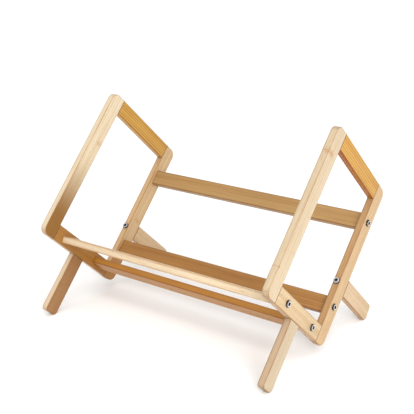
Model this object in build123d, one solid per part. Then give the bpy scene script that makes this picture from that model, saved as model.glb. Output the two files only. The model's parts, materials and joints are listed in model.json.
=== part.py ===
# Photo album stand: two tilted end frames, four flat rails between them and four short legs.
# The stand is built lying square to its own frames and is then tilted onto its feet.
#
# Frame coordinates: X runs up an upright, Y runs from the front upright to the rear one,
# and Z runs from the right end frame to the left one, with zero midway between them.
# The corner where the front upright's front face meets the bottom bar's lower face is X = Y = 0.
import math
import os

from build123d import *

# Driving dimensions, millimetres
stand_length = 320.0       # over the outer faces of the two end frames
frame_height = 195.0       # end frame, along its uprights
frame_depth = 149.0        # end frame, along its top and bottom bars
slat_thickness = 8.0       # every slat is planed to this
upright_width = 20.0
bar_width = 19.0
rail_width = 19.5
leg_width = 19.5
leg_length = 75.0
leg_setback = 72.0         # leg centre line, from the frame's front bottom corner, on both sides
seat_rail_backs = (43.0, 108.8)       # rail's centre, from the front upright's front face
seat_rail_insets = (9.4, 9.2)         # rail's centre, from the bottom bar's lower face
seat_rail_turns = (-17.0, 5.0)        # degrees about the rail's own screws, front edge upwards
back_rail_rises = (44.8, 149.2)       # rail's centre, from the bottom bar's lower face
back_rail_inset = 11.5                # rail's centre, from the rear upright's back face
corner_radius = 9.0        # outer corners of an end frame
foot_radius = 4.5          # corners of a leg's free end
edge_softening = 0.8       # sanded edges

# M4 furniture screws with a low round head and a hex socket
head_radius = 3.8
head_height = 2.2
head_rim = 1.3             # straight part of the head's side
head_flat_radius = 2.9     # flat land around the socket
head_shoulder_radius = 0.95
socket_width = 4.0         # across flats
socket_depth = 1.5
shank_radius = 1.95
shank_tip = 0.5            # chamfer at the screw's end
rail_screw_length = 25.0   # under the head
leg_bolt_length = 35.0     # under the head
clearance_hole_radius = 2.3

# The front legs' bolts have sunk heads, flush with the bar that the albums stand over
sunk_head_radius = 3.1
sunk_head_drop = 0.2       # head's face below the bar's
sunk_land = 0.25           # straight part of the head's side, above its cone
sunk_socket_width = 2.5
sunk_socket_depth = 1.2

# Barbed insert nuts for M4
insert_radius = 3.0
insert_root_radius = 2.7
insert_bore_radius = 2.0
insert_length = 12.0
insert_barbs = 6
barb_land = 0.4            # straight part of a barb, as a share of its pitch
insert_gap = 0.05          # between the insert's barbs and its hole
hole_allowance = 1.0       # a leg's or rail's hole is this much deeper than its screw reaches

# Dowels in the frame's corner joints
dowel_radius = 2.0
dowel_length = 24.0
dowel_spacing = 10.0       # centre to centre, across the bar
dowel_bevel = 0.6
dowel_end_gap = 0.5        # glue space at each end of the hole
dowel_gap = 0.05           # around the dowel

cut_overrun = 1.0          # how far a cut runs past the material on each side

# Worked out from the dimensions above
half_length = stand_length / 2
half_gap = half_length - slat_thickness
frame_mid = half_length - slat_thickness / 2
bar_centres = (bar_width / 2, frame_height - bar_width / 2)
joint_planes = (upright_width, frame_depth - upright_width)
seat_rail_centres = tuple(zip(seat_rail_insets, seat_rail_backs))
back_rail_plane = frame_depth - back_rail_inset
back_rail_centres = tuple((rise, back_rail_plane) for rise in back_rail_rises)
foot_front = leg_setback - leg_width / 2
foot_back = leg_setback + leg_width / 2

# The tilt that puts the rounded corners of the front and rear feet on one level
tilt = math.atan2(frame_depth + leg_length - foot_back, foot_front + leg_length)


def level(x, y):
    # height of a frame point above the frame's front bottom corner once the stand is tilted
    return x * math.sin(tilt) - y * math.cos(tilt)


def reach(x, y):
    # distance of a frame point behind the frame's front bottom corner once the stand is tilted
    return x * math.cos(tilt) + y * math.sin(tilt)


def standing():
    # The tilted frame axes, placed so that the stand's footprint is centred on the origin.
    foot_centre = (foot_radius - leg_length, foot_back - foot_radius)
    floor_level = level(*foot_centre) - foot_radius
    foremost = reach(foot_radius - leg_length, foot_front + foot_radius) - foot_radius
    top_corner = (frame_height - corner_radius, frame_depth - corner_radius)
    rearmost = reach(*top_corner) + corner_radius
    return Plane(
        origin=(0, -(foremost + rearmost) / 2, -floor_level),
        x_dir=(0, math.cos(tilt), math.sin(tilt)),
        z_dir=(-1, 0, 0),
    )


def block(x_range, y_range, z_range):
    # a square-edged block between three pairs of limits
    sizes = [high - low for low, high in (x_range, y_range, z_range)]
    middles = [(high + low) / 2 for low, high in (x_range, y_range, z_range)]
    return Pos(*middles) * Box(*sizes)


def bore(start, direction, radius, depth):
    # a drill's cut from a point along a direction
    return Plane(origin=start, z_dir=direction) * Cylinder(
        radius, depth, align=(Align.CENTER, Align.CENTER, Align.MIN)
    )


def end_frame():
    # One end frame centred on Z = 0, sanded as a whole after gluing and then cut at its joints.
    outline = RectangleRounded(frame_height, frame_depth, corner_radius)
    window = Rectangle(frame_height - 2 * bar_width, frame_depth - 2 * upright_width)
    middle = Pos(frame_height / 2, frame_depth / 2, -slat_thickness / 2)
    ring = middle * extrude(outline - window, slat_thickness)
    ring = fillet(ring.faces().filter_by(Axis.Z).edges(), edge_softening)

    low_end = -cut_overrun
    top_end = frame_height + cut_overrun
    back_end = frame_depth + cut_overrun
    thickness = (-slat_thickness, slat_thickness)
    pieces = {
        "front_upright": ring & block((low_end, top_end), (low_end, joint_planes[0]), thickness),
        "rear_upright": ring & block((low_end, top_end), (joint_planes[1], back_end), thickness),
        "bottom_bar": ring & block((low_end, frame_height / 2), joint_planes, thickness),
        "top_bar": ring & block((frame_height / 2, top_end), joint_planes, thickness),
    }
    for name, cut in frame_cuts().items():
        pieces[name] = pieces[name] - cut
    return pieces


def corner_dowel_starts():
    # the front end of each dowel, in both joints of both bars
    starts = []
    for bar_centre in bar_centres:
        for joint in joint_planes:
            for side in (-1, 1):
                starts.append((bar_centre + side * dowel_spacing / 2, joint - dowel_length / 2))
    return starts


def frame_cuts():
    # Dowel holes, and clearance holes for the rail screws and the leg bolts.
    dowel_holes = [
        bore((x, y - dowel_end_gap, 0), (0, 1, 0), dowel_radius + dowel_gap, dowel_length + 2 * dowel_end_gap)
        for x, y in corner_dowel_starts()
    ]
    through = slat_thickness + 2 * cut_overrun
    seat_holes, back_holes = [
        [bore((x, y, -through / 2), (0, 0, 1), clearance_hole_radius, through) for x, y in centres]
        for centres in (seat_rail_centres, back_rail_centres)
    ]
    bar_through = bar_width + 2 * cut_overrun
    upright_through = upright_width + 2 * cut_overrun
    rear_start = joint_planes[1] - cut_overrun
    front_leg_hole = bore((-cut_overrun, leg_setback, 0), (1, 0, 0), clearance_hole_radius, bar_through)
    sink = placed(sunk_head(cut_overrun)[0], (bar_width, leg_setback, 0), (1, 0, 0))
    rear_leg_hole = bore((leg_setback, rear_start, 0), (0, 1, 0), clearance_hole_radius, upright_through)
    return {
        "front_upright": dowel_holes,
        "rear_upright": dowel_holes + back_holes + [rear_leg_hole],
        "bottom_bar": dowel_holes + seat_holes + [front_leg_hole, sink],
        "top_bar": dowel_holes,
    }


def insert_hole(start, direction, screw_reach):
    # a hole for an insert nut, carried on past it for the screw's end
    nut_hole = bore(start, direction, insert_radius + insert_gap, insert_length)
    return [nut_hole, bore(start, direction, clearance_hole_radius, screw_reach + hole_allowance)]


def leg():
    # A leg along +X from its butt end at the origin, centred on Y and Z.
    blank = block((0, leg_length), (-leg_width / 2, leg_width / 2), (-slat_thickness / 2, slat_thickness / 2))
    foot_corners = blank.edges().filter_by(Axis.Z).group_by(Axis.X)[-1]
    blank = fillet(foot_corners, foot_radius)
    soft_edges = blank.edges() - blank.faces().sort_by(Axis.X)[0].edges()
    blank = fillet(soft_edges, edge_softening)
    screw_reach = leg_bolt_length - bar_width
    return blank - insert_hole((0, 0, 0), (1, 0, 0), screw_reach)


def rail():
    # A rail along Z between the end frames, broad faces along X, centred on the origin.
    blank = Box(slat_thickness, rail_width, 2 * half_gap)
    blank = fillet(blank.edges().filter_by(Axis.Z), edge_softening)
    screw_reach = rail_screw_length - slat_thickness
    for side in (-1, 1):
        blank = blank - insert_hole((0, 0, side * half_gap), (0, 0, -side), screw_reach)
    return blank


def hex_socket(width, depth, top):
    # a hexagon's cut down from a height on the Z axis
    return Pos(0, 0, top - depth) * extrude(RegularPolygon(width / 2, 6, major_radius=False), depth + cut_overrun)


def shank(length):
    # a plain shank down from the origin, with a bevelled tip
    peg = Cylinder(shank_radius, length, align=(Align.CENTER, Align.CENTER, Align.MAX))
    return chamfer(peg.edges().sort_by(Axis.Z)[0], shank_tip)


def screw(length):
    # A round head screw along -Z, with the underside of its head at the origin.
    rim = (head_radius, head_rim)
    land = (head_flat_radius, head_height)
    side = Polyline((0, head_height), (0, 0), (head_radius, 0), rim)
    shoulder = RadiusArc(rim, land, -head_shoulder_radius)
    top = Line(land, (0, head_height))
    head = revolve(Plane.XZ * make_face([side, shoulder, top]), Axis.Z)
    return head - hex_socket(socket_width, socket_depth, head_height) + shank(length)


def sunk_head(top):
    # A 90 degree cone head about the Z axis, carried up to a height: the head itself up to its own face,
    # and the cut that it sits in up past the bar's.
    land = -sunk_head_drop - sunk_land
    neck = land - (sunk_head_radius - shank_radius)
    outline = [(0, top), (sunk_head_radius, top), (sunk_head_radius, land), (shank_radius, neck), (0, neck)]
    return revolve(Plane.XZ * make_face(Polyline(*outline, close=True)), Axis.Z), neck


def sunk_bolt(length):
    # a flat head bolt along -Z whose face lies just below the origin
    head, neck = sunk_head(-sunk_head_drop)
    body = head + Pos(0, 0, neck) * shank(length + neck)
    return body - hex_socket(sunk_socket_width, sunk_socket_depth, -sunk_head_drop)


def insert_nut():
    # A barbed insert nut along +Z from its mouth at the origin.
    outline = [(insert_bore_radius, 0), (insert_radius, 0)]
    barb = insert_length / insert_barbs
    for count in range(insert_barbs):
        outline.append((insert_radius, (count + barb_land) * barb))
        outline.append((insert_root_radius, (count + 1) * barb))
        if count + 1 < insert_barbs:
            outline.append((insert_radius, (count + 1) * barb))
    outline.append((insert_bore_radius, insert_length))
    return revolve(Plane.XZ * make_face(Polyline(*outline, close=True)), Axis.Z)


def dowel():
    # a bevelled dowel along +Z from its lower end at the origin
    peg = Cylinder(dowel_radius, dowel_length, align=(Align.CENTER, Align.CENTER, Align.MIN))
    return chamfer(peg.edges(), dowel_bevel)


def placed(shape, position, direction):
    # a shape moved so that its origin is at a point and its +Z lies along a direction
    return Plane(origin=position, z_dir=direction) * shape


def rail_ends():
    # where each rail's centre line meets the end frames: frame point and side
    return [(x, y, side) for x, y in seat_rail_centres + back_rail_centres for side in (-1, 1)]


def fasteners():
    # Screws, insert nuts and dowels, each kind as one group of separate solids.
    rail_screw = screw(rail_screw_length)
    front_bolt = sunk_bolt(leg_bolt_length)
    rear_bolt = screw(leg_bolt_length)
    nut = insert_nut()
    peg = dowel()
    rail_screws = [placed(rail_screw, (x, y, side * half_length), (0, 0, side)) for x, y, side in rail_ends()]
    rail_nuts = [placed(nut, (x, y, side * half_gap), (0, 0, -side)) for x, y, side in rail_ends()]
    leg_bolts = []
    leg_nuts = []
    dowels = []
    for side in (-1, 1):
        z = side * frame_mid
        leg_bolts.append(placed(front_bolt, (bar_width, leg_setback, z), (1, 0, 0)))
        leg_bolts.append(placed(rear_bolt, (leg_setback, joint_planes[1], z), (0, -1, 0)))
        leg_nuts.append(placed(nut, (0, leg_setback, z), (-1, 0, 0)))
        leg_nuts.append(placed(nut, (leg_setback, frame_depth, z), (0, 1, 0)))
        dowels += [placed(peg, (x, y, z), (0, 1, 0)) for x, y in corner_dowel_starts()]
    return {
        "rail_screws": Compound(children=rail_screws),
        "leg_bolts": Compound(children=leg_bolts),
        "rail_insert_nuts": Compound(children=rail_nuts),
        "leg_insert_nuts": Compound(children=leg_nuts),
        "corner_dowels": Compound(children=dowels),
    }


def stand():
    # Every node of the stand, in frame coordinates.
    nodes = {}
    frame = end_frame()
    one_leg = leg()
    for side_name, side in (("right", -1), ("left", 1)):
        sideways = Pos(0, 0, side * frame_mid)
        for name, piece in frame.items():
            nodes[f"{side_name}_{name}"] = sideways * piece
        front_butt = Pos(0, leg_setback, 0) * Rot(0, 0, 180)
        rear_butt = Pos(leg_setback, frame_depth, 0) * Rot(0, 0, 90)
        nodes[f"{side_name}_front_leg"] = sideways * front_butt * one_leg
        nodes[f"{side_name}_rear_leg"] = sideways * rear_butt * one_leg

    one_rail = rail()
    for name, (x, y), turn in zip(("front_seat_rail", "rear_seat_rail"), seat_rail_centres, seat_rail_turns):
        nodes[name] = Pos(x, y, 0) * Rot(0, 0, turn) * one_rail
    for name, (x, y) in zip(("lower_back_rail", "upper_back_rail"), back_rail_centres):
        nodes[name] = Pos(x, y, 0) * Rot(0, 0, 90) * one_rail
    nodes.update(fasteners())
    return nodes


os.makedirs("parts", exist_ok=True)
onto_feet = standing()
print(f"tilt {math.degrees(tilt):.2f} degrees, frame corner at {tuple(onto_feet.origin)}")
for node_name, node in stand().items():
    export_step(onto_feet.location * node, f"parts/{node_name}.step")
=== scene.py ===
import json
import math

import bpy
import numpy as np
from mathutils import Euler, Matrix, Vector


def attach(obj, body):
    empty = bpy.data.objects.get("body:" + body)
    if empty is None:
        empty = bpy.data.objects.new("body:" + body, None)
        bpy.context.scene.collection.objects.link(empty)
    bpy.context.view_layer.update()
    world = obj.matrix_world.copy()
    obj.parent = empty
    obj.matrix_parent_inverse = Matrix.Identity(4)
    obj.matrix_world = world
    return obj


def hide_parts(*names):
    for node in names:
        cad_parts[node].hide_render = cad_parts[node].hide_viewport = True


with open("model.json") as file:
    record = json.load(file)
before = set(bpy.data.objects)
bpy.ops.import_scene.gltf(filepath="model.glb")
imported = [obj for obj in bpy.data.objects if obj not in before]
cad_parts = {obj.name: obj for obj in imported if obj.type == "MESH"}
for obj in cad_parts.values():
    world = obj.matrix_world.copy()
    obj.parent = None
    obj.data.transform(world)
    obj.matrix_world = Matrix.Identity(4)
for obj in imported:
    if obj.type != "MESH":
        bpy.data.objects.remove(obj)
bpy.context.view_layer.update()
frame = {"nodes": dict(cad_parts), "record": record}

scene = bpy.context.scene
mm = 0.001
print("frame loaded,", len(frame["nodes"]), "nodes")


# side runs along the rails, up runs along an upright, back runs from the front upright to the rear one
mountAxes = {mount["name"]: np.array(mount["axis"]) for mount in frame["record"]["mounts"]}
sideAxis = np.array((1.0, 0.0, 0.0))
backAxis = -mountAxes["back_face"] / np.linalg.norm(mountAxes["back_face"])
standAxes = np.array((sideAxis, np.cross(sideAxis, backAxis), backAxis))
side, up, back = 0, 1, 2


def measureNode(nodeName, axes=standAxes):
    # lowest and highest place of a CAD node along side, up and back, or along other axes
    mesh = frame["nodes"][nodeName].data
    points = np.empty(len(mesh.vertices) * 3, np.float32)
    mesh.vertices.foreach_get("co", points)
    places = points.reshape(-1, 3).astype(float) @ axes.T
    return places.min(axis=0), places.max(axis=0)


def ownAxes(nodeName):
    # the stand's directions turned about side, as far as the node's broadest flat faces are turned
    mesh = frame["nodes"][nodeName].data
    normals = np.array([polygon.normal[:] for polygon in mesh.polygons]) @ standAxes.T
    areas = np.array([polygon.area for polygon in mesh.polygons])
    angles = np.degrees(np.arctan2(normals[:, back], normals[:, up]))
    angles = np.round((angles + 45.0) % 90.0 - 45.0, 1)
    across = np.abs(normals[:, side]) < 0.01
    turns, places = np.unique(angles[across], return_inverse=True)
    turn = math.radians(turns[np.argmax(np.bincount(places, weights=areas[across]))])
    turned = np.array((
        (1.0, 0.0, 0.0),
        (0.0, math.cos(turn), math.sin(turn)),
        (0.0, -math.sin(turn), math.cos(turn)),
    ))
    return turned @ standAxes


nodeBoxes = {nodeName: measureNode(nodeName) for nodeName in frame["nodes"]}


def nodeCentre(nodeName):
    return (nodeBoxes[nodeName][0] + nodeBoxes[nodeName][1]) / 2


def smoothStep(low, high, value):
    # 0 below low, 1 above high, and a smooth S between them
    share = np.clip((value - low) / (high - low), 0.0, 1.0)
    return share * share * (3.0 - 2.0 * share)


cameraLook = {
    "place": (0.5911934, -0.7545409, 0.4665005),
    "turnDegrees": (70.87832, 1.519535, 37.592903),
    "lens": 76.6493,
    "sensor": 36.0,
}
studioLook = {
    "worldColour": (1.0, 1.0, 1.0),
    "worldStrength": 0.6,
    "floorColour": (0.97, 0.97, 0.97),
    "floorSize": 60.0,
    "overheadFrom": (0.25, -0.35, 0.9),    # direction of the broad light overhead
    "overheadStrength": 1.75,
    "overheadSpreadDegrees": 70.0,
    "softboxPlace": (0.85, -0.5, 0.42),
    "softboxAim": (0.12, 0.0, 0.12),
    "softboxSize": 0.6,
    "softboxWatts": 6.2,
}


def makeCamera(look):
    data = bpy.data.cameras.new("viewCamera")
    data.lens = look["lens"]
    data.sensor_width = look["sensor"]
    camera = bpy.data.objects.new("viewCamera", data)
    camera.location = look["place"]
    camera.rotation_euler = Euler([math.radians(angle) for angle in look["turnDegrees"]], "XYZ")
    scene.collection.objects.link(camera)
    scene.camera = camera


def makeStudio(look):
    world = bpy.data.worlds.new("studioWorld")
    world.use_nodes = True
    background = world.node_tree.nodes["Background"]
    background.inputs["Color"].default_value = (*look["worldColour"], 1.0)
    background.inputs["Strength"].default_value = look["worldStrength"]
    scene.world = world
    scene.view_settings.view_transform = "Standard"

    overhead = bpy.data.lights.new("overheadLight", "SUN")
    overhead.energy = look["overheadStrength"]
    overhead.angle = math.radians(look["overheadSpreadDegrees"])
    softbox = bpy.data.lights.new("rightSoftbox", "AREA")
    softbox.size = look["softboxSize"]
    softbox.energy = look["softboxWatts"]
    softboxRay = Vector(look["softboxAim"]) - Vector(look["softboxPlace"])
    for data, place, ray in (
        (overhead, look["overheadFrom"], -Vector(look["overheadFrom"])),
        (softbox, look["softboxPlace"], softboxRay),
    ):
        lamp = bpy.data.objects.new(data.name, data)
        lamp.location = place
        lamp.rotation_euler = ray.to_track_quat("-Z", "Y").to_euler()
        scene.collection.objects.link(lamp)

    half = look["floorSize"] / 2
    corners = [(-half, -half, 0.0), (half, -half, 0.0), (half, half, 0.0), (-half, half, 0.0)]
    mesh = bpy.data.meshes.new("paleFloor")
    mesh.from_pydata(corners, [], [(0, 1, 2, 3)])
    floor = bpy.data.objects.new("paleFloor", mesh)
    scene.collection.objects.link(floor)
    paint = bpy.data.materials.new("paleFloorPaint")
    paint.use_nodes = True
    shader = paint.node_tree.nodes["Principled BSDF"]
    shader.inputs["Base Color"].default_value = (*look["floorColour"], 1.0)
    shader.inputs["Roughness"].default_value = 0.9
    shader.inputs["Specular IOR Level"].default_value = 0.1
    mesh.materials.append(paint)


makeCamera(cameraLook)
makeStudio(studioLook)
print("camera, light and floor made")


def addNode(tree, kind, values=None, **settings):
    # a node with its settings, whose inputs are given as numbers, colours or the sockets that feed them
    made = tree.nodes.new(kind)
    for key, value in settings.items():
        setattr(made, key, value)
    for key, value in (values or {}).items():
        if isinstance(value, bpy.types.NodeSocket):
            tree.links.new(value, made.inputs[key])
        else:
            made.inputs[key].default_value = value
    return made


def calculate(tree, operation, *values, clamp=False):
    numbered = dict(enumerate(values))
    return addNode(tree, "ShaderNodeMath", numbered, operation=operation, use_clamp=clamp).outputs[0]


def ramp(tree, value, low, high, outLow=0.0, outHigh=1.0):
    # a smooth change from outLow to outHigh while the value goes from low to high
    values = {"Value": value, "From Min": low, "From Max": high, "To Min": outLow, "To Max": outHigh}
    return addNode(tree, "ShaderNodeMapRange", values, interpolation_type="SMOOTHSTEP").outputs["Result"]


def mixColours(tree, share, first, second, blend="MIX"):
    mixer = addNode(tree, "ShaderNodeMix", data_type="RGBA", blend_type=blend, clamp_factor=True)
    for socket, value in ((mixer.inputs[0], share), (mixer.inputs[6], first), (mixer.inputs[7], second)):
        if isinstance(value, bpy.types.NodeSocket):
            tree.links.new(value, socket)
        else:
            socket.default_value = value
    return mixer.outputs[2]


def stretch(tree, place, scales):
    # the place with each direction multiplied by its own number
    values = {0: place, 1: scales}
    return addNode(tree, "ShaderNodeVectorMath", values, operation="MULTIPLY").outputs[0]


def noise(tree, place, scales, detail=2.0, roughness=0.5):
    values = {
        "Vector": stretch(tree, place, scales),
        "Scale": 1.0,
        "Detail": detail,
        "Roughness": roughness,
    }
    return addNode(tree, "ShaderNodeTexNoise", values).outputs["Fac"]


def startGroup(name, inputs, outputs):
    # an empty shader node group: inputs are name -> (socket kind, starting value), outputs are name -> kind
    kinds = {"number": "NodeSocketFloat", "colour": "NodeSocketColor", "vector": "NodeSocketVector"}
    group = bpy.data.node_groups.new(name, "ShaderNodeTree")
    for key, (kind, start) in inputs.items():
        socket = group.interface.new_socket(name=key, in_out="INPUT", socket_type=kinds[kind])
        socket.default_value = start
    for key, kind in outputs.items():
        group.interface.new_socket(name=key, in_out="OUTPUT", socket_type=kinds[kind])
    given = group.nodes.new("NodeGroupInput").outputs
    result = group.nodes.new("NodeGroupOutput").inputs
    return group, given, result


def useGroup(tree, group, values):
    made = addNode(tree, "ShaderNodeGroup", node_tree=group)
    for key, value in values.items():
        if isinstance(value, bpy.types.NodeSocket):
            tree.links.new(value, made.inputs[key])
        else:
            made.inputs[key].default_value = value
    return made.outputs


# Board: strips glued side by side, each a little different in tone, with lengthwise fibres all through.
# Place is (along, across, through) in metres from the slat's middle.
def makeBoardGroup():
    group, given, result = startGroup("bambooBoard", {
        "Place": ("vector", (0.0, 0.0, 0.0)),
        "Pale": ("colour", (0.70, 0.52, 0.33, 1.0)),
        "Deep": ("colour", (0.52, 0.32, 0.14, 1.0)),
        "Face Shade Tone": ("colour", (1.0, 1.0, 1.0, 1.0)),
        "Strip Width": ("number", 0.0045),
        "Strip Contrast": ("number", 0.4),
        "Glue Strength": ("number", 0.25),
        "Streaks": ("number", 0.5),
        "Flecks": ("number", 0.4),
        "Seed": ("number", 0.0),
        "Shaded Face": ("number", 0.0),
        "Edge": ("number", 0.0),
        "Edge Strength": ("number", 0.6),
        "Joint": ("number", 0.0),
        "End": ("number", 0.0),
        "Knuckle": ("number", 0.0),
    }, {"Color": "colour", "Roughness": "number", "Height": "number"})
    tree = group
    place = given["Place"]
    shift = addNode(tree, "ShaderNodeCombineXYZ", {
        "X": calculate(tree, "MULTIPLY", given["Seed"], 0.37),
        "Y": calculate(tree, "MULTIPLY", given["Seed"], 0.053),
        "Z": calculate(tree, "MULTIPLY", given["Seed"], 0.019),
    }).outputs[0]
    moved = addNode(tree, "ShaderNodeVectorMath", {0: place, 1: shift}, operation="ADD").outputs[0]

    # the fibres wander a little sideways along the slat
    wander = noise(tree, moved, (7.0, 30.0, 30.0), 1.0)
    sideways = calculate(tree, "MULTIPLY", calculate(tree, "SUBTRACT", wander, 0.5), 0.0022)
    wanderShift = addNode(tree, "ShaderNodeCombineXYZ", {"Y": sideways, "Z": sideways}).outputs[0]
    fibrePlace = addNode(
        tree, "ShaderNodeVectorMath", {0: moved, 1: wanderShift}, operation="ADD").outputs[0]

    # which strip this is, and how near its glue line
    parts = addNode(tree, "ShaderNodeSeparateXYZ", {"Vector": fibrePlace}).outputs
    stripPlace = calculate(tree, "DIVIDE", parts["Y"], given["Strip Width"])
    stripCount = calculate(tree, "FLOOR", stripPlace)
    stripShare = calculate(tree, "FRACT", stripPlace)
    stripTone = addNode(tree, "ShaderNodeTexWhiteNoise", {
        "W": calculate(tree, "ADD", stripCount, calculate(tree, "MULTIPLY", given["Seed"], 13.0)),
    }, noise_dimensions="1D").outputs["Value"]
    fromMiddle = calculate(tree, "ABSOLUTE", calculate(tree, "SUBTRACT", stripShare, 0.5))
    fromEdge = calculate(tree, "SUBTRACT", 0.5, fromMiddle)
    glueAway = calculate(tree, "MULTIPLY", fromEdge, given["Strip Width"])
    glueLine = ramp(tree, glueAway, 0.2 * mm, 0.7 * mm, 1.0, 0.0)

    # fibres: fine pores, broader streaks, slow drift of tone, and short dark flecks
    fine = noise(tree, fibrePlace, (22.0, 2100.0, 2100.0), 3.0, 0.6)
    broad = noise(tree, fibrePlace, (8.0, 560.0, 560.0), 2.0, 0.6)
    drift = noise(tree, fibrePlace, (14.0, 70.0, 70.0), 1.0)
    fleckNoise = noise(tree, fibrePlace, (120.0, 2600.0, 2600.0), 1.0)
    fleck = calculate(tree, "MULTIPLY", ramp(tree, fleckNoise, 0.64, 0.74), given["Flecks"])
    # each strip is denser, so a little deeper, towards its outer wall
    density = calculate(tree, "MULTIPLY", stripShare, 0.25)

    tone = calculate(tree, "MULTIPLY", calculate(tree, "ADD", stripTone, density), given["Strip Contrast"])
    streakTone = calculate(tree, "MULTIPLY", calculate(tree, "SUBTRACT", broad, 0.42), given["Streaks"])
    driftTone = calculate(tree, "MULTIPLY", calculate(tree, "SUBTRACT", drift, 0.5), 0.5)
    tone = calculate(tree, "ADD", tone, calculate(tree, "MULTIPLY", streakTone, 2.2))
    tone = calculate(tree, "ADD", tone, driftTone, clamp=True)
    colour = mixColours(tree, tone, given["Pale"], given["Deep"])

    fineShade = ramp(tree, fine, 0.3, 0.7)
    fineShare = calculate(tree, "MULTIPLY", calculate(tree, "SUBTRACT", 1.0, fineShade), given["Streaks"])
    fineColour = mixColours(tree, 1.0, colour, (0.80, 0.72, 0.60, 1.0), "MULTIPLY")
    colour = mixColours(tree, fineShare, colour, fineColour)
    colour = mixColours(tree, fleck, colour, (0.28, 0.13, 0.045, 1.0))
    glueShare = calculate(tree, "MULTIPLY", glueLine, given["Glue Strength"])
    glueShare = calculate(tree, "MULTIPLY", glueShare, ramp(tree, broad, 0.3, 0.6, 0.5, 1.0))
    gluePaint = mixColours(tree, 1.0, colour, (0.62, 0.40, 0.20, 1.0), "MULTIPLY")
    colour = mixColours(tree, glueShare, colour, gluePaint)
    colour = mixColours(tree, given["Knuckle"], colour, (0.36, 0.14, 0.025, 1.0))

    endPaint = mixColours(tree, 1.0, colour, (0.72, 0.57, 0.42, 1.0), "MULTIPLY")
    colour = mixColours(tree, given["End"], colour, endPaint)
    # painted shade: one face of the slat, chosen in its look, is multiplied towards the face tone as if it
    # lay in shade
    faceShadePaint = mixColours(tree, 1.0, colour, given["Face Shade Tone"], "MULTIPLY")
    colour = mixColours(tree, given["Shaded Face"], colour, faceShadePaint)

    # sanded edges cut across the fibres and take the lacquer darker; joints hold a thin dark line
    edgeNoise = noise(tree, fibrePlace, (40.0, 300.0, 300.0), 2.0)
    edgeShare = calculate(tree, "MULTIPLY", given["Edge"], ramp(tree, edgeNoise, 0.25, 0.6, 0.55, 1.0))
    edgeShare = calculate(tree, "MULTIPLY", edgeShare, given["Edge Strength"])
    edgePaint = mixColours(tree, 1.0, colour, (0.54, 0.29, 0.07, 1.0), "MULTIPLY")
    colour = mixColours(tree, edgeShare, colour, edgePaint)
    jointNoise = noise(tree, moved, (700.0, 700.0, 700.0), 1.0)
    jointShare = calculate(tree, "MULTIPLY", given["Joint"], ramp(tree, jointNoise, 0.3, 0.6, 0.8, 1.0))
    colour = mixColours(tree, jointShare, colour, (0.13, 0.06, 0.025, 1.0))

    gloss = calculate(tree, "MULTIPLY_ADD", calculate(tree, "SUBTRACT", 1.0, fineShade), 0.14, 0.40)
    gloss = calculate(tree, "MULTIPLY_ADD", fleck, 0.12, gloss)
    gloss = calculate(tree, "MULTIPLY_ADD", given["Joint"], 0.25, gloss)
    height = calculate(tree, "MULTIPLY_ADD", fleck, -0.9, fineShade)
    height = calculate(tree, "MULTIPLY_ADD", glueLine, -0.4, height)
    height = calculate(tree, "MULTIPLY_ADD", given["Knuckle"], 0.6, height)
    tree.links.new(colour, result["Color"])
    tree.links.new(gloss, result["Roughness"])
    tree.links.new(height, result["Height"])
    return group


# Knuckle: where the cane had a joint, a thin wavy line crosses the strip among a patch of brown dots.
def makeKnuckleGroup():
    group, given, result = startGroup("bambooKnuckle", {
        "Place": ("vector", (0.0, 0.0, 0.0)),
        "Along": ("number", 0.0),
        "Across": ("number", 0.0),
        "Reach": ("number", 0.006),
        "Spread": ("number", 0.0035),
        "Strength": ("number", 1.0),
    }, {"Mask": "number"})
    tree = group
    parts = addNode(tree, "ShaderNodeSeparateXYZ", {"Vector": given["Place"]}).outputs
    waver = noise(tree, given["Place"], (250.0, 330.0, 330.0), 2.0)
    waverShift = calculate(tree, "MULTIPLY", calculate(tree, "SUBTRACT", waver, 0.5), 0.004)
    along = calculate(tree, "ADD", calculate(tree, "SUBTRACT", parts["X"], given["Along"]), waverShift)
    away = calculate(tree, "ABSOLUTE", along)
    across = calculate(tree, "ABSOLUTE", calculate(tree, "SUBTRACT", parts["Y"], given["Across"]))
    window = calculate(tree, "SUBTRACT", 1.0, calculate(tree, "SMOOTH_MIN", 1.0, calculate(
        tree, "POWER", calculate(tree, "DIVIDE", across, given["Reach"]), 4.0), 0.1), clamp=True)
    patch = calculate(tree, "SUBTRACT", 1.0, calculate(tree, "DIVIDE", away, given["Spread"]), clamp=True)
    dotNoise = noise(tree, given["Place"], (520.0, 620.0, 620.0), 1.0)
    dots = calculate(
        tree, "MULTIPLY", ramp(tree, dotNoise, 0.47, 0.53), calculate(tree, "POWER", patch, 0.5))
    line = ramp(tree, away, 0.0001, 0.0005, 0.75, 0.0)
    mark = calculate(tree, "MAXIMUM", calculate(tree, "MULTIPLY", dots, 0.85), line)
    mark = calculate(tree, "MULTIPLY", calculate(tree, "MULTIPLY", mark, window), given["Strength"])
    tree.links.new(mark, result["Mask"])
    return group


boardGroup = makeBoardGroup()
knuckleGroup = makeKnuckleGroup()


# how every slat's surface is finished: depth of the grain and the thin satin coat
boardFinish = {
    "bumpStrength": 0.35,
    "bumpHeight": 0.06 * mm,
    "coat": 0.18,
    "coatRoughness": 0.32,
    "specular": 0.4,
}


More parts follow.
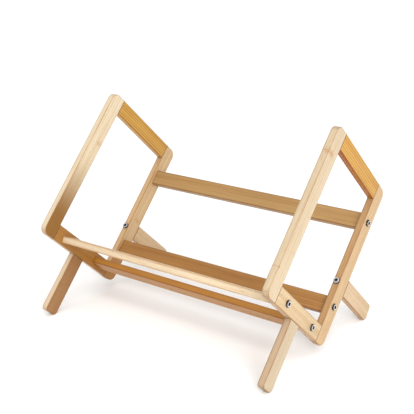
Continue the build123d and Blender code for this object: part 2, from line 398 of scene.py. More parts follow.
def bambooMaterial(name, look):
    material = bpy.data.materials.new(name)
    material.use_nodes = True
    tree = material.node_tree
    shader = tree.nodes["Principled BSDF"]
    place = addNode(tree, "ShaderNodeAttribute", attribute_name="slatPlace").outputs["Vector"]
    knuckle = 0.0
    for mark in look.get("knuckles", ()):
        mask = useGroup(tree, knuckleGroup, {"Place": place, **mark})["Mask"]
        knuckle = calculate(tree, "MAXIMUM", knuckle, mask)
    marks = {
        key: addNode(tree, "ShaderNodeAttribute", attribute_name=attribute).outputs["Fac"]
        for key, attribute in (
            ("Shaded Face", "shadedFace"), ("Edge", "softEdge"), ("Joint", "jointLine"), ("End", "endGrain"),
        )
    }
    board = useGroup(tree, boardGroup, {
        "Place": place,
        "Pale": (*look["pale"], 1.0),
        "Deep": (*look["deep"], 1.0),
        "Face Shade Tone": (*look.get("faceShadeTone", (1.0, 1.0, 1.0)), 1.0),
        "Strip Width": look.get("stripWidth", 4.6 * mm),
        "Strip Contrast": look.get("stripContrast", 0.35),
        "Glue Strength": look.get("glueStrength", 0.22),
        "Streaks": look.get("streaks", 0.55),
        "Flecks": look.get("flecks", 0.5),
        "Seed": look["seed"],
        "Edge Strength": look.get("edgeStrength", 0.85),
        "Knuckle": knuckle,
        **marks,
    })
    tree.links.new(board["Color"], shader.inputs["Base Color"])
    tree.links.new(board["Roughness"], shader.inputs["Roughness"])
    bump = addNode(tree, "ShaderNodeBump", {
        "Height": board["Height"],
        "Strength": boardFinish["bumpStrength"],
        "Distance": boardFinish["bumpHeight"],
    })
    tree.links.new(bump.outputs["Normal"], shader.inputs["Normal"])
    shader.inputs["Coat Weight"].default_value = boardFinish["coat"]
    shader.inputs["Coat Roughness"].default_value = boardFinish["coatRoughness"]
    shader.inputs["Specular IOR Level"].default_value = boardFinish["specular"]
    return material


slatShape = {
    "frameCorner": 9.0 * mm,       # rounded outer corners of an end frame
    "footCorner": 4.5 * mm,        # rounded corners of a leg's free end
    "buttCorner": 0.32 * mm,       # corners that stay crisp at a glued joint
    "edgeSoftening": 0.8 * mm,     # sanded long edges
    "jointSoftening": 0.25 * mm,   # hairline that shows beside a joint
    "jointFade": 1.2 * mm,         # run over which the sanding grows away from a joint
    "jointLine": 0.8 * mm,         # reach of the dark line
    "arcSteps": 8,
    "edgeSteps": 5,
    "stationStep": 6.0 * mm,
}


def distanceToStretch(points, start, end):
    # shortest distance of each point to the straight stretch between two ends
    run = end - start
    share = np.clip(((points - start) @ run) / (run @ run), 0.0, 1.0)
    return np.linalg.norm(points - (start + share[:, None] * run), axis=1)


def sideChain(length, half, radii, sign, stations, steps):
    # One long side of the outline from end to end: a quarter arc, straight stations, a quarter arc.
    # sign is -1 for the low side and +1 for the high side; returns points and outward normals.
    angles = np.linspace(0.0, math.pi / 2, steps)
    startNormals = np.stack((-np.cos(angles), sign * np.sin(angles)), axis=1)
    endNormals = np.stack((np.sin(angles), sign * np.cos(angles)), axis=1)
    startRadius, endRadius = radii
    startCentre = np.array((-length / 2 + startRadius, sign * (half - startRadius)))
    endCentre = np.array((length / 2 - endRadius, sign * (half - endRadius)))
    sideNormals = np.tile((0.0, float(sign)), (len(stations), 1))
    sidePoints = np.stack((stations, np.full(len(stations), sign * half)), axis=1)
    points = np.concatenate((
        startCentre + startNormals * startRadius, sidePoints, endCentre + endNormals * endRadius,
    ))
    return points, np.concatenate((startNormals, sideNormals, endNormals))


def gridRim(rungs, columns):
    # vertex numbers round the edge of a grid, in order
    numbers = np.arange(rungs * columns).reshape(rungs, columns)
    return np.concatenate((numbers[:, 0], numbers[-1, 1:], numbers[-2::-1, -1], numbers[0, -2:0:-1]))


def gridQuads(numbers):
    # quads between the neighbouring rows and columns of a table of vertex numbers
    corners = (numbers[:-1, :-1], numbers[1:, :-1], numbers[1:, 1:], numbers[:-1, 1:])
    return np.stack(corners, axis=-1).reshape(-1, 4)


def slatSurface(size, radii, joints, shape):
    # A slat in (along, across, through) about its middle. Two flat faces are grids of straight rungs
    # between its long sides. Round their rim runs a quarter circle of the edge's own softening, the
    # straight wall, and a second quarter circle, so a rim point at angle a lies soft * (1 - cos a)
    # inside the outline and soft * (1 - sin a) below the face.
    length, width, thickness = size
    radii = np.array(radii)
    first = -length / 2 + radii[:2].max() + 0.4 * mm
    last = length / 2 - radii[2:].max() - 0.4 * mm
    stations = np.linspace(first, last, int((last - first) / shape["stationStep"]) + 2)
    nearEnds = np.array((0.4, 1.0, 2.0)) * mm
    extra = [first + nearEnds, last - nearEnds]
    for start, end in joints:
        for alongJoint in (start[0], end[0]):
            extra.append(alongJoint + np.array((-1.2, -0.8, -0.4, 0.0, 0.4, 0.8, 1.2)) * mm)
    stations = np.unique(np.concatenate([stations, *extra]).round(6))
    stations = stations[(stations >= first) & (stations <= last)]

    steps = shape["arcSteps"]
    low, lowNormals = sideChain(length, width / 2, radii[[0, 2]], -1, stations, steps)
    high, highNormals = sideChain(length, width / 2, radii[[1, 3]], 1, stations, steps)
    shares = np.array((0.0, 0.02, 0.045, 0.09, 0.3, 0.5, 0.7, 0.91, 0.955, 0.98, 1.0))
    rungs, columns = len(low), len(shares)
    rim = gridRim(rungs, columns)

    def ladder(lowValues, highValues):
        # straight rungs between the two sides
        lowShares = (1 - shares)[None, :, None]
        highShares = shares[None, :, None]
        return lowValues[:, None] * lowShares + highValues[:, None] * highShares

    outline = ladder(low, high).reshape(-1, 2)[rim]
    outward = ladder(lowNormals, highNormals).reshape(-1, 2)[rim]
    outward /= np.linalg.norm(outward, axis=1)[:, None]
    away = np.full(len(rim), 1.0)
    for start, end in joints:
        away = np.minimum(away, distanceToStretch(outline, np.array(start), np.array(end)))
    grow = smoothStep(0.0, shape["jointFade"], away - 0.3 * mm)
    soft = shape["jointSoftening"] + (shape["edgeSoftening"] - shape["jointSoftening"]) * grow
    rimJoint = 1.0 - smoothStep(0.05 * mm, shape["jointLine"], away)

    # the flat face: rungs drawn between the two sides after sanding, with the rim put exactly in place
    inner = outline - outward * soft[:, None]
    sanded = np.zeros((rungs * columns, 2))
    sanded[rim] = inner
    sanded = sanded.reshape(rungs, columns, 2)
    flat = ladder(sanded[:, 0], sanded[:, -1])
    flat[:steps] += sanded[0] - flat[0]      # the first and last rungs follow the sanding of their end
    flat[-steps:] += sanded[-1] - flat[-1]
    flat = flat.reshape(-1, 2)
    flat[rim] = inner
    faceAway = np.full(len(flat), 1.0)
    for start, end in joints:
        faceAway = np.minimum(faceAway, distanceToStretch(flat, np.array(start), np.array(end)))
    faceJoint = 1.0 - smoothStep(0.2 * mm, shape["jointLine"], faceAway)
    faceEdge = np.zeros(len(flat))
    faceEdge[rim] = 0.35

    angles = np.linspace(math.pi / 2, 0.0, shape["edgeSteps"] + 1)[1:]
    rings = []
    half = thickness / 2
    for sign, order in ((-1, angles), (1, angles[::-1])):
        if sign > 0:
            for level in (-0.5, 0.0, 0.5):   # the straight wall
                wallHeight = np.full(len(rim), level * (half - shape["edgeSoftening"]))
                rings.append((outline, wallHeight, 0.0, 0.0, sign))
        for angle in order:
            plane = outline - outward * (soft * (1 - math.cos(angle)))[:, None]
            height = sign * (half - soft * (1 - math.sin(angle)))
            rings.append((plane, height, angle, 0.45 + 0.55 * math.sin(2 * angle), sign))

    bottom = np.column_stack((flat, np.full(len(flat), -half)))
    top = np.column_stack((flat, np.full(len(flat), half)))
    ringPoints = [np.column_stack((plane, height)) for plane, height, *_ in rings]
    points = np.concatenate([bottom, *ringPoints, top])
    faceCount, rimCount = len(flat), len(rim)
    topStart = faceCount + rimCount * len(rings)

    normals = np.concatenate([
        np.tile((0.0, 0.0, -1.0), (faceCount, 1)),
        *[np.column_stack((outward * math.cos(angle), np.full(rimCount, sign * math.sin(angle))))
          for _, _, angle, _, sign in rings],
        np.tile((0.0, 0.0, 1.0), (faceCount, 1)),
    ])
    edge = np.concatenate([faceEdge, *[np.full(rimCount, amount) for *_, amount, _ in rings], faceEdge])
    joint = np.concatenate([faceJoint, *[rimJoint for _ in rings], faceJoint])
    endGrain = normals[:, 0] ** 2

    numbers = np.arange(faceCount).reshape(rungs, columns)
    between = faceCount + np.arange(rimCount * len(rings)).reshape(len(rings), rimCount)
    loops = np.concatenate((rim[None, :], between, (rim + topStart)[None, :]))
    loops = np.concatenate((loops, loops[:, :1]), axis=1)
    quads = np.concatenate((
        gridQuads(numbers),
        gridQuads(loops),
        (gridQuads(numbers) + topStart)[:, ::-1],
    ))
    return points, quads, {"normals": normals, "softEdge": edge, "jointLine": joint, "endGrain": endGrain}


def addPiece(name, points, quads, material, nodeName, attributes):
    # a finished piece in the stand's frame, riding on the stand and standing for its CAD node
    mesh = bpy.data.meshes.new(name)
    mesh.from_pydata(points.tolist(), [], quads.tolist())
    mesh.polygons.foreach_set("use_smooth", np.ones(len(quads), bool))
    for key, values in attributes.items():
        kind = "FLOAT" if values.ndim == 1 else "FLOAT_VECTOR"
        attribute = mesh.attributes.new(key, kind, "POINT")
        field = "value" if values.ndim == 1 else "vector"
        attribute.data.foreach_set(field, values.astype(np.float32).ravel())
    mesh.materials.append(material)
    mesh.validate()
    mesh.update()
    piece = bpy.data.objects.new(name, mesh)
    scene.collection.objects.link(piece)
    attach(piece, "root")
    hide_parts(nodeName)
    return piece


def turnOutward(points, quads):
    # faces are turned round if the closed surface's signed volume comes out negative
    corners = points[quads]
    fans = np.einsum("ij,ij->i", corners[:, 0], np.cross(corners[:, 1], corners[:, 2]))
    fans += np.einsum("ij,ij->i", corners[:, 0], np.cross(corners[:, 2], corners[:, 3]))
    return quads if fans.sum() > 0 else quads[:, ::-1]


def slatRoles(nodeName, size):
    # rounded corners and glued joints of a slat, from what it is; corners are start-low, start-high,
    # end-low and end-high, where start and end are along the slat and low and high are across it
    alongAxis, acrossAxis, throughAxis = np.argsort(-size)
    length, width = size[alongAxis], size[acrossAxis]
    crisp = slatShape["buttCorner"]
    corners = [crisp] * 4
    ends = (-length / 2, length / 2)
    sides = (-width / 2, width / 2)
    joints = []
    if nodeName.endswith("upright"):
        outer = 0 if "front" in nodeName else 1
        corners[outer] = corners[2 + outer] = slatShape["frameCorner"]
        barLow, barHigh = nodeBoxes[nodeName.split("_")[0] + "_bottom_bar"]
        barWidth = barHigh[up] - barLow[up]
        glued = sides[1 - outer]
        joints.append(((ends[0], glued), (ends[0] + barWidth, glued)))
        joints.append(((ends[1] - barWidth, glued), (ends[1], glued)))
    elif nodeName.endswith("leg"):
        free = 0 if "front" in nodeName else 1
        corners[2 * free] = corners[2 * free + 1] = slatShape["footCorner"]
        glued = ends[1 - free]
        joints.append(((glued, sides[0]), (glued, sides[1])))
    else:
        joints = [((end, sides[0]), (end, sides[1])) for end in ends]
    return (alongAxis, acrossAxis, throughAxis), corners, joints


# What a user would change on each slat. Tones are linear colours; seed shifts the grain. A face tone
# is painted shade: it colours one face deeper, as if that face lay in shade. Its direction is (along,
# across, through), and its fade gives the places along the slat between which the painted shade fades
# out, from deep to none.
lowerSide = (0.0, -1.0, 0.0)
innerLeft = (0.0, 0.0, 1.0)
slatLooks = {
    "right_front_upright": {
        "slot": "bamboo_pale", "pale": (0.56, 0.46, 0.32), "deep": (0.47, 0.35, 0.21), "seed": 1.3,
        "edgeStrength": 0.65,
        "knuckles": [
            {"Along": 66 * mm, "Across": -4.5 * mm, "Reach": 7 * mm, "Spread": 4.5 * mm, "Strength": 1.0},
            {"Along": -66 * mm, "Across": -10 * mm, "Reach": 3 * mm, "Spread": 1.2 * mm, "Strength": 0.9},
        ],
    },
    "left_front_upright": {
        "slot": "bamboo_pale", "pale": (0.72, 0.62, 0.45), "deep": (0.63, 0.49, 0.31), "seed": 2.9,
        # painted shade on the inner face, deepest at the bottom joint and fading out upwards
        "shadedFaceDirection": innerLeft, "faceShadeTone": (0.37, 0.20, 0.035), "faceShadeFade": (-72 * mm, 20 * mm),
        "knuckles": [
            {"Along": 31 * mm, "Across": 5 * mm, "Reach": 6 * mm, "Spread": 4 * mm, "Strength": 0.7},
        ],
    },
    "right_rear_upright": {
        "slot": "bamboo_tan", "pale": (0.565, 0.395, 0.215), "deep": (0.45, 0.28, 0.12), "seed": 3.7,
        "shadedFaceDirection": lowerSide, "faceShadeTone": (0.745, 0.64, 0.515),
        "knuckles": [
            {"Along": -78 * mm, "Across": -3 * mm, "Reach": 6 * mm, "Spread": 9 * mm, "Strength": 0.35},
        ],
    },
    "left_rear_upright": {
        "slot": "bamboo_tan", "pale": (0.60, 0.42, 0.23), "deep": (0.48, 0.30, 0.13), "seed": 4.1,
        # painted shade on the inner face, deepest at the bottom and fading out upwards
        "shadedFaceDirection": innerLeft, "faceShadeTone": (0.66, 0.44, 0.17), "faceShadeFade": (-80 * mm, -40 * mm),
        "knuckles": [
            {"Along": -12 * mm, "Across": 2 * mm, "Reach": 9 * mm, "Spread": 4 * mm, "Strength": 0.6},
        ],
    },
    "right_bottom_bar": {
        "slot": "bamboo_pale", "pale": (0.58, 0.45, 0.272), "deep": (0.45, 0.295, 0.142), "seed": 5.2,
        "shadedFaceDirection": lowerSide, "faceShadeTone": (0.91, 0.86, 0.86),
        "stripWidth": 2.6 * mm, "stripContrast": 0.5, "streaks": 0.5, "glueStrength": 0.35,
    },
    "left_bottom_bar": {
        "slot": "bamboo_pale", "pale": (0.60, 0.44, 0.27), "deep": (0.50, 0.32, 0.16), "seed": 6.6,
        "shadedFaceDirection": innerLeft, "faceShadeTone": (0.62, 0.40, 0.12),
        "knuckles": [
            {"Along": 47 * mm, "Across": -2 * mm, "Reach": 7 * mm, "Spread": 6 * mm, "Strength": 0.8},
        ],
    },
    "right_top_bar": {
        "slot": "bamboo_amber", "pale": (0.56, 0.32, 0.042), "deep": (0.43, 0.19, 0.011), "seed": 7.4,
        "shadedFaceDirection": lowerSide, "faceShadeTone": (0.89, 0.65, 0.32),
        "stripWidth": 2.9 * mm, "stripContrast": 0.25, "streaks": 0.45, "glueStrength": 1.0,
    },
    "left_top_bar": {
        "slot": "bamboo_amber", "pale": (0.56, 0.32, 0.042), "deep": (0.43, 0.19, 0.011), "seed": 8.8,
        "stripWidth": 2.9 * mm, "stripContrast": 0.25, "streaks": 0.45, "glueStrength": 1.0,
    },
    "right_front_leg": {
        "slot": "bamboo_pale", "pale": (0.50, 0.415, 0.29), "deep": (0.415, 0.31, 0.185), "seed": 9.5,
        "shadedFaceDirection": lowerSide, "faceShadeTone": (0.90, 0.80, 0.76),
    },
    "left_front_leg": {
        "slot": "bamboo_pale", "pale": (0.70, 0.575, 0.41), "deep": (0.59, 0.435, 0.275), "seed": 10.1,
        "shadedFaceDirection": innerLeft, "faceShadeTone": (0.46, 0.285, 0.135),
    },
    "right_rear_leg": {
        "slot": "bamboo_pale", "pale": (0.58, 0.43, 0.27), "deep": (0.485, 0.33, 0.175), "seed": 11.6,
        "shadedFaceDirection": lowerSide, "faceShadeTone": (0.85, 0.69, 0.54),
    },
    "left_rear_leg": {
        "slot": "bamboo_pale", "pale": (0.60, 0.43, 0.26), "deep": (0.50, 0.33, 0.17), "seed": 12.2,
    },
    "front_seat_rail": {
        "slot": "bamboo_pale", "pale": (0.77, 0.66, 0.49), "deep": (0.69, 0.55, 0.37), "seed": 13.9,
    },
    "rear_seat_rail": {
        "slot": "bamboo_tan", "pale": (0.49, 0.245, 0.07), "deep": (0.365, 0.15, 0.029), "seed": 14.3,
        "shadedFaceDirection": lowerSide, "faceShadeTone": (0.92, 0.83, 0.36),
    },
    "lower_back_rail": {
        "slot": "bamboo_tan", "pale": (0.395, 0.20, 0.048), "deep": (0.29, 0.12, 0.02), "seed": 15.7,
        "stripContrast": 0.5, "streaks": 0.7,
    },
    "upper_back_rail": {
        "slot": "bamboo_tan", "pale": (0.42, 0.255, 0.094), "deep": (0.325, 0.17, 0.045), "seed": 16.4,
        "stripContrast": 0.4, "streaks": 0.7,
    },
}


def makeSlat(nodeName, look):
    nodeAxes = ownAxes(nodeName)
    low, high = measureNode(nodeName, nodeAxes)
    axes, corners, joints = slatRoles(nodeName, high - low)
    places, quads, masks = slatSurface((high - low)[list(axes)], corners, joints, slatShape)
    directions = nodeAxes[list(axes)]
    points = places @ directions + (low + high) / 2 @ nodeAxes
    # painted shade: how squarely each point faces the chosen direction, faded out along the slat where a
    # fade is given
    shadedFace = np.clip(masks["normals"] @ np.array(look.get("shadedFaceDirection", (0.0, 0.0, 0.0))), 0.0, 1.0)
    if "faceShadeFade" in look:
        shadedFace *= 1.0 - smoothStep(*look["faceShadeFade"], places[:, 0])
    attributes = {
        "slatPlace": places,
        "softEdge": masks["softEdge"],
        "jointLine": masks["jointLine"],
        "endGrain": masks["endGrain"],
        "shadedFace": shadedFace,
    }
    material = bambooMaterial("bamboo_" + nodeName, look)
    outwardQuads = turnOutward(points, quads)
    addPiece("slat_" + nodeName, points, outwardQuads, material, nodeName, attributes)


for nodeName, look in slatLooks.items():
    makeSlat(nodeName, look)
print(len(slatLooks), "bamboo slats made")

# Metal: fine rings from turning, a little tarnish in spots, and painted shade with a little tarnish in
# the hollows and along the heads' edges, where the metal also turns dull and dark.
def makeTurnedGroup():
    group, given, result = startGroup("turnedMetal", {
        "Place": ("vector", (0.0, 0.0, 0.0)),
        "Bright": ("colour", (0.8, 0.8, 0.8, 1.0)),
        "Shade Tarnish Colour": ("colour", (0.2, 0.18, 0.15, 1.0)),
        "Shade Tarnish": ("number", 0.0),
        "Polish": ("number", 0.2),
    }, {"Color": "colour", "Roughness": "number", "Metalness": "number", "Height": "number"})
    tree = group
    parts = addNode(tree, "ShaderNodeSeparateXYZ", {"Vector": given["Place"]}).outputs
    squares = calculate(tree, "ADD", calculate(tree, "POWER", parts["X"], 2.0),
                        calculate(tree, "POWER", parts["Y"], 2.0))
    radius = calculate(tree, "SQRT", squares)
    ringPlace = addNode(tree, "ShaderNodeCombineXYZ", {"X": radius, "Y": parts["Z"]}).outputs[0]
    rings = noise(tree, ringPlace, (9000.0, 9000.0, 1.0), 2.0)
    smudge = noise(tree, given["Place"], (420.0, 420.0, 420.0), 3.0, 0.6)
    # painted shade with a little tarnish: the mask darkens the metal towards its second colour
    shadeAndGrime = calculate(tree, "MULTIPLY", given["Shade Tarnish"], ramp(tree, smudge, 0.2, 0.6, 0.8, 1.0))
    spots = ramp(tree, smudge, 0.58, 0.75, 0.0, 0.35)
    colour = mixColours(tree, calculate(tree, "MAXIMUM", shadeAndGrime, spots), given["Bright"], given["Shade Tarnish Colour"])
    gloss = calculate(tree, "MULTIPLY_ADD", smudge, 0.14, given["Polish"])
    gloss = calculate(tree, "MULTIPLY_ADD", given["Shade Tarnish"], 0.25, gloss)
    tree.links.new(colour, result["Color"])
    tree.links.new(gloss, result["Roughness"])
    # where painted shade lies the metal loses its metalness, so it shows near black
    tree.links.new(calculate(tree, "MULTIPLY_ADD", given["Shade Tarnish"], -0.9, 1.0), result["Metalness"])
    tree.links.new(rings, result["Height"])
    return group


turnedGroup = makeTurnedGroup()


def metalMaterial(name, look):
    material = bpy.data.materials.new(name)
    material.use_nodes = True
    tree = material.node_tree
    shader = tree.nodes["Principled BSDF"]
    turned = useGroup(tree, turnedGroup, {
        "Place": addNode(tree, "ShaderNodeAttribute", attribute_name="turnPlace").outputs["Vector"],
        "Shade Tarnish": addNode(tree, "ShaderNodeAttribute", attribute_name="shadeTarnish").outputs["Fac"],
        "Bright": (*look["bright"], 1.0),
        "Shade Tarnish Colour": (*look["shadeTarnishColour"], 1.0),
        "Polish": look["polish"],
    })
    tree.links.new(turned["Color"], shader.inputs["Base Color"])
    tree.links.new(turned["Roughness"], shader.inputs["Roughness"])
    tree.links.new(turned["Metalness"], shader.inputs["Metallic"])
    shader.inputs["Specular IOR Level"].default_value = 0.15
    bump = addNode(tree, "ShaderNodeBump", {
        "Height": turned["Height"],
        "Strength": 0.2,
        "Distance": 0.01 * mm,
    })
    tree.links.new(bump.outputs["Normal"], shader.inputs["Normal"])
    return material


# Dowels: beech pegs with pressed flutes; pale, with short brown rays.
def dowelMaterial(name, look):
    material = bpy.data.materials.new(name)
    material.use_nodes = True
    tree = material.node_tree
    shader = tree.nodes["Principled BSDF"]
    place = addNode(tree, "ShaderNodeAttribute", attribute_name="turnPlace").outputs["Vector"]
    fibre = noise(tree, place, (1800.0, 1800.0, 40.0), 3.0, 0.6)
    rays = ramp(tree, noise(tree, place, (2600.0, 2600.0, 500.0), 1.0), 0.6, 0.7)
    colour = mixColours(tree, ramp(tree, fibre, 0.3, 0.7), (*look["pale"], 1.0), (*look["deep"], 1.0))
    colour = mixColours(tree, calculate(tree, "MULTIPLY", rays, 0.6), colour, (*look["ray"], 1.0))
    tree.links.new(colour, shader.inputs["Base Color"])
    tree.links.new(ramp(tree, fibre, 0.3, 0.7, 0.72, 0.6), shader.inputs["Roughness"])
    bump = addNode(tree, "ShaderNodeBump", {"Height": fibre, "Strength": 0.4, "Distance": 0.05 * mm})
    tree.links.new(bump.outputs["Normal"], shader.inputs["Normal"])
    return material


headShape = {
    "radius": 3.8 * mm,
    "height": 2.2 * mm,
    "rim": 1.3 * mm,              # straight part of the side
    "flatRadius": 2.9 * mm,       # outer edge of the land round the socket
    "shoulderRadius": 0.95 * mm,
    "socketWidth": 4.0 * mm,      # across flats
    "socketDepth": 1.5 * mm,
    "socketBevel": 0.15 * mm,
    "drillDepth": 0.25 * mm,      # cone left by the drill at the socket's bottom
}
# The finished bars have no seat cut for these heads, so they lie hidden below the bars' faces.
sunkHeadShape = {
    "radius": 3.1 * mm,
    "height": -0.2 * mm,          # face of the head, below the bar's
    "land": 0.25 * mm,            # straight part of the side, above the cone
    "shoulderRadius": 0.12 * mm,
    "socketWidth": 2.5 * mm,
    "socketDepth": 1.2 * mm,
    "socketBevel": 0.1 * mm,
    "drillDepth": 0.15 * mm,
}
threadShape = {
    "radius": 1.95 * mm,
    "depth": 0.33 * mm,
    "pitch": 0.7 * mm,
    "tip": 0.5 * mm,
    "rowsPerTurn": 5,
    "sides": 48,
}
railScrewLength = 25.0 * mm
legBoltLength = 35.0 * mm


def hexReach(angles):
    # a hexagon's edge as a share of its half width across flats: 1 over cos of the angle from the
    # nearest flat
    folded = (angles + math.pi / 6) % (math.pi / 3) - math.pi / 6
    return 1.0 / np.cos(folded)


def latheQuads(rows, sides):
    # quads round a turned surface, closed round its axis
    numbers = np.arange(rows * sides).reshape(rows, sides)
    return gridQuads(np.concatenate((numbers, numbers[:, :1]), axis=1))


def arcPoints(start, end, radius, steps):
    # points along the bulging arc of a given radius between two points of a profile
    start, end = np.array(start), np.array(end)
    chord = end - start
    reach = np.linalg.norm(chord)
    across = np.array((-chord[1], chord[0])) / reach
    centre = (start + end) / 2 + across * math.sqrt(radius ** 2 - (reach / 2) ** 2)
    first, last = start - centre, end - centre
    turn = np.linspace(0.0, 1.0, steps)[:, None]
    sweep = math.acos(np.clip(first @ last / radius ** 2, -1.0, 1.0))
    return centre + (first * np.sin((1 - turn) * sweep) + last * np.sin(turn * sweep)) / math.sin(sweep)


def socketRows(shape):
    # From the head's face down to the bottom of its socket. Each row of a head has a radius, a height over
    # the seat, a share of hexagon and its share of painted shade; the socket's walls and floor are fully
    # dark with painted shade.
    half = shape["socketWidth"] / 2
    bevel = shape["socketBevel"]
    floorLevel = shape["height"] - shape["socketDepth"]
    return [
        (half + bevel + 0.1 * mm, shape["height"], 0.6, 0.0),
        (half + bevel, shape["height"], 0.8, 0.8),
        (half, shape["height"] - bevel, 1, 1.0),
        (half, shape["height"] - 1.5 * bevel, 1, 1.0),
        (half, floorLevel + 0.05 * mm, 1, 1.0),
        (half - 0.05 * mm, floorLevel, 1, 1.0),
        (half * 0.75, floorLevel, 0, 1.0),
        (0.0, floorLevel - shape["drillDepth"], 0, 1.0),
    ]


def headProfile(shape):
    # the round head from the edge of its underside: up the side, dark with painted shade and painted
    # reflection, and over the shoulder, where that fades, to the bright land
    rim = (shape["radius"], shape["rim"])
    land = (shape["flatRadius"], shape["height"])
    shoulderRows = 8
    seatBevel = 0.1 * mm
    shoulder = arcPoints(rim, land, shape["shoulderRadius"], shoulderRows)
    # painted shadow and painted reflection: the seat ring and the side are fully dark, fading out over the
    # shoulder
    wallShade = 1.0 - np.linspace(0.0, 1.0, len(shoulder)) ** 4 * 0.7
    rows = [(shape["radius"] - seatBevel, 0.0, 0, 1.0), (shape["radius"], seatBevel, 0, 1.0)]
    rows += [(radius, height, 0, wallShadeShare) for (radius, height), wallShadeShare in zip(shoulder, wallShade)]
    return np.array(rows + socketRows(shape))


def sunkHeadProfile(shape, shankRadius):
    # the flat head from where its 45 degree cone leaves the shank
    radius, shoulder = shape["radius"], shape["shoulderRadius"]
    coneTop = shape["height"] - shape["land"]
    # painted shade on the cone and the side, fading at the face's edge
    rows = [
        (shankRadius, coneTop - (radius - shankRadius), 0, 0.6),
        (radius, coneTop, 0, 0.6),
        (radius, shape["height"] - shoulder, 0, 0.8),
        (radius - shoulder, shape["height"], 0, 0.2),
    ]
    return np.array(rows + socketRows(shape))


def latheSurface(reach, heights, angles, shadeTarnishShares):
    # A turned surface from its radius at each row and angle and its height at each row. Its first and last
    # rows lie on the axis or meet each other, so that it is closed.
    rows, sides = reach.shape
    levels = np.repeat(heights[:, None], sides, axis=1)
    points = np.stack((reach * np.cos(angles), reach * np.sin(angles), levels), axis=-1).reshape(-1, 3)
    return points, latheQuads(rows, sides), np.broadcast_to(shadeTarnishShares, reach.shape).reshape(-1)


def screwSurface(length, profile, shape=threadShape):
    # A whole screw turned about Z with its seat at zero. On the shank the radius at an angle and a
    # depth is the outer radius less the thread's depth times a triangle wave of the depth in pitches
    # less the angle in turns, growing in below the head and cut off by a cone at the tip. On the head
    # it is the circle's radius plus a share of the way to a hexagon's.
    angles = np.arange(shape["sides"]) * 2 * math.pi / shape["sides"]
    rows = int(length / shape["pitch"] * shape["rowsPerTurn"]) + 1
    headStart = max(-profile[0, 1], 0.0)
    depths = np.linspace(length, headStart, rows)
    turns = depths[:, None] / shape["pitch"] - angles[None, :] / (2 * math.pi)
    wave = np.abs(2 * (turns - np.floor(turns)) - 1)
    grown = smoothStep(headStart, headStart + 2 * shape["pitch"], depths)[:, None]
    shank = shape["radius"] - shape["depth"] * (1 - wave) * grown
    shank = np.minimum(shank, shape["radius"] - (shape["tip"] - (length - depths))[:, None])
    radii, heights, hexShares, shadeTarnishShares = profile.T
    head = radii[:, None] * (1 + hexShares[:, None] * (hexReach(angles) - 1)[None, :])
    reach = np.concatenate((np.zeros((1, len(angles))), shank, head))
    # painted shade in the thread's roots, up to half strength where the thread is cut deepest
    shankShadeTarnish = (shape["radius"] - shank) / shape["depth"] * 0.5
    shadeTarnishRows = np.repeat(shadeTarnishShares[:, None], len(angles), axis=1)
    allShadeTarnish = np.concatenate((shankShadeTarnish[:1], shankShadeTarnish, shadeTarnishRows))
    allHeights = np.concatenate(((-length,), -depths, heights))
    return latheSurface(reach, allHeights, angles, np.clip(allShadeTarnish, 0.0, 1.0))


def joinSurfaces(surfaces):
    # several surfaces as one, with their vertex numbers carried on
    counts = np.cumsum([0] + [len(points) for points, *_ in surfaces])
    return (
        np.concatenate([points for points, *_ in surfaces]),
        np.concatenate([quads + count for (_, quads, _), count in zip(surfaces, counts)]),
        np.concatenate([shadeTarnishShares for *_, shadeTarnishShares in surfaces]),
    )


insertShape = {
    "radius": 3.0 * mm,
    "rootRadius": 2.7 * mm,
    "boreRadius": 2.0 * mm,
    "length": 12.0 * mm,
    "barbs": 6,
    "barbLand": 0.4,            # straight part of a barb, as a share of its pitch
    "bevel": 0.2 * mm,
    "knurl": 0.06 * mm,         # depth of the lengthwise grooves on the barbs
    "knurls": 24,
    "sides": 96,
}


def insertSurface(shape):
    # The barbed nut turned about Z from its mouth at zero: up the barbed outside and down the bore. On the
    # barbs the radius dips by the knurl's depth times a cosine of the angle times the number of knurls.
    pitch = shape["length"] / shape["barbs"]
    outer = [(shape["radius"] - shape["bevel"], 0.0), (shape["radius"], shape["bevel"])]
    for count in range(shape["barbs"]):
        outer.append((shape["radius"], (count + shape["barbLand"]) * pitch))
        outer.append((shape["rootRadius"], (count + 1) * pitch - 0.02 * mm))
        if count + 1 < shape["barbs"]:
            outer.append((shape["radius"], (count + 1) * pitch))
    outer[-1] = (shape["rootRadius"], shape["length"])
    boreRadius, bevel, length = shape["boreRadius"], shape["bevel"], shape["length"]
    bore = [
        (boreRadius + bevel, length),
        (boreRadius, length - bevel),
        (boreRadius, bevel),
        (boreRadius + bevel, 0.0),
    ]
    radii, heights = np.array(outer + bore + outer[:1]).T
    angles = np.arange(shape["sides"]) * 2 * math.pi / shape["sides"]
    onBarb = (radii >= shape["radius"] - 0.01 * mm)[:, None]
    grooves = shape["knurl"] * (0.5 - 0.5 * np.cos(angles * shape["knurls"]))[None, :]
    reach = radii[:, None] - onBarb * grooves
    # painted shade in the barb roots and knurl grooves, up to 0.6 strength
    shadeTarnishShares = np.clip((shape["radius"] - reach) / (shape["radius"] - shape["rootRadius"]), 0.0, 1.0) * 0.6
    return latheSurface(reach, heights, angles, shadeTarnishShares)


dowelShape = {
    "radius": 2.0 * mm,
    "length": 24.0 * mm,
    "bevel": 0.6 * mm,
    "spacing": 10.0 * mm,       # centre to centre, across a bar
    "flutes": 18,
    "fluteDepth": 0.12 * mm,
    "sides": 72,
}


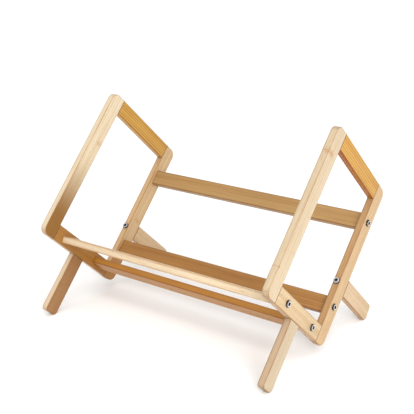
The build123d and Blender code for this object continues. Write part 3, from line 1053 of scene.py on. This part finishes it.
def dowelSurface(shape):
    # A peg turned about Z, centred on zero; its radius dips by the flute's depth times a cosine of the
    # angle times the number of flutes, except on the bevelled ends.
    half = shape["length"] / 2
    small = shape["radius"] - shape["bevel"]
    full = shape["radius"]
    radii = np.array((0.0, small, full, full, full, full, small, 0.0))
    bevelStart = half - shape["bevel"]
    heights = np.array((-half, -half, -bevelStart, -bevelStart + shape["bevel"],
                        bevelStart - shape["bevel"], bevelStart, half, half))
    fluted = np.array((0.0, 0.0, 0.0, 1.0, 1.0, 0.0, 0.0, 0.0))[:, None]
    angles = np.arange(shape["sides"]) * 2 * math.pi / shape["sides"]
    grooves = shape["fluteDepth"] * (0.5 - 0.5 * np.cos(angles * shape["flutes"]))[None, :]
    return latheSurface(radii[:, None] - fluted * grooves, heights, angles, fluted)


def setAlong(surface, place, axis, turn=0.0):
    # a turned surface moved so that its origin is at a place in the stand and its Z lies along an axis
    points, quads, shadeTarnishShares = surface
    axis = np.array(axis, float)
    helper = np.roll(axis, 1)
    first = np.cross(helper, axis)
    first /= np.linalg.norm(first)
    second = np.cross(axis, first)
    firstTurned = math.cos(turn) * first + math.sin(turn) * second
    secondTurned = math.cos(turn) * second - math.sin(turn) * first
    return points @ np.array((firstTurned, secondTurned, axis)) + np.array(place), quads, shadeTarnishShares


def addTurned(name, batches, material, nodeName):
    # copies of turned surfaces, each surface with its placings of (place, axis, turn) in the stand's
    # directions
    placed = [setAlong(surface, *placing) for surface, placings in batches for placing in placings]
    points, quads, shadeTarnishShares = joinSurfaces(placed)
    points = points @ standAxes
    quads = turnOutward(points, quads)
    turnPlaces = np.concatenate([surface[0] for surface, placings in batches for _ in placings])
    attributes = {"turnPlace": turnPlaces, "shadeTarnish": shadeTarnishShares}
    addPiece(name, points, quads, material, nodeName, attributes)


def railEnds():
    # where each rail's centre line meets the end frames: place, and which side
    ends = []
    for railName in ("front_seat_rail", "rear_seat_rail", "lower_back_rail", "upper_back_rail"):
        low, high = nodeBoxes[railName]
        middle = (low + high) / 2
        for sign, reach in ((-1, low[side]), (1, high[side])):
            ends.append((np.array((reach, middle[up], middle[back])), sign))
    return ends


# colours are linear; polish is the metal's least roughness
# the nickel's near-black second colour paints the shade in the sockets, at the heads' seats and on their
# sides, and its tarnish spots; the brass's paints the shade in its barb roots and its tarnish spots
nickelLook = {"bright": (0.95, 0.93, 0.90), "shadeTarnishColour": (0.008, 0.007, 0.006), "polish": 0.30}
brassLook = {"bright": (0.78, 0.56, 0.24), "shadeTarnishColour": (0.28, 0.16, 0.06), "polish": 0.28}
dowelLook = {"pale": (0.66, 0.48, 0.30), "deep": (0.52, 0.34, 0.19), "ray": (0.34, 0.18, 0.09)}


def makeFasteners():
    nickel = metalMaterial("bright_nickel", nickelLook)
    brass = metalMaterial("turned_brass", brassLook)
    beech = dowelMaterial("beech_dowel", dowelLook)

    railScrews, railNuts = [], []
    for count, (place, sign) in enumerate(railEnds()):
        frameName = "right_rear_upright" if sign > 0 else "left_rear_upright"
        outerFace = nodeBoxes[frameName][1 if sign > 0 else 0][side]
        railScrews.append(((outerFace, place[up], place[back]), (sign, 0, 0), 0.4 + 0.7 * count))
        railNuts.append((place, (-sign, 0, 0), 0.3 * count))

    frontBolts, rearBolts, legNuts, dowels = [], [], [], []
    for sideName in ("right", "left"):
        barLow, barHigh = nodeBoxes[sideName + "_bottom_bar"]
        rearLow, rearHigh = nodeBoxes[sideName + "_rear_upright"]
        frontLeg = nodeCentre(sideName + "_front_leg")
        rearLeg = nodeCentre(sideName + "_rear_leg")
        frontBolts.append(((frontLeg[side], barHigh[up], frontLeg[back]), (0, 1, 0), 0.5))
        rearBolts.append(((rearLeg[side], rearLeg[up], rearLow[back]), (0, 0, -1), 1.1))
        legNuts.append(((frontLeg[side], barLow[up], frontLeg[back]), (0, -1, 0), 0.0))
        legNuts.append(((rearLeg[side], rearLeg[up], rearHigh[back]), (0, 0, 1), 0.0))
        for barName in ("_bottom_bar", "_top_bar"):
            low, high = nodeBoxes[sideName + barName]
            middle = (low + high) / 2
            for joint in (low[back], high[back]):
                for shift in (-dowelShape["spacing"] / 2, dowelShape["spacing"] / 2):
                    dowels.append(((middle[side], middle[up] + shift, joint), (0, 0, 1), 0.2))

    roundHead = headProfile(headShape)
    sunkHead = sunkHeadProfile(sunkHeadShape, threadShape["radius"])
    railScrew = screwSurface(railScrewLength, roundHead)
    frontBolt = screwSurface(legBoltLength, sunkHead)
    rearBolt = screwSurface(legBoltLength, roundHead)
    nut = insertSurface(insertShape)
    addTurned("railScrews", [(railScrew, railScrews)], nickel, "rail_screws")
    addTurned("legBolts", [(frontBolt, frontBolts), (rearBolt, rearBolts)], nickel, "leg_bolts")
    addTurned("railInsertNuts", [(nut, railNuts)], brass, "rail_insert_nuts")
    addTurned("legInsertNuts", [(nut, legNuts)], brass, "leg_insert_nuts")
    addTurned("cornerDowels", [(dowelSurface(dowelShape), dowels)], beech, "corner_dowels")


makeFasteners()
print("screws, insert nuts and dowels made")
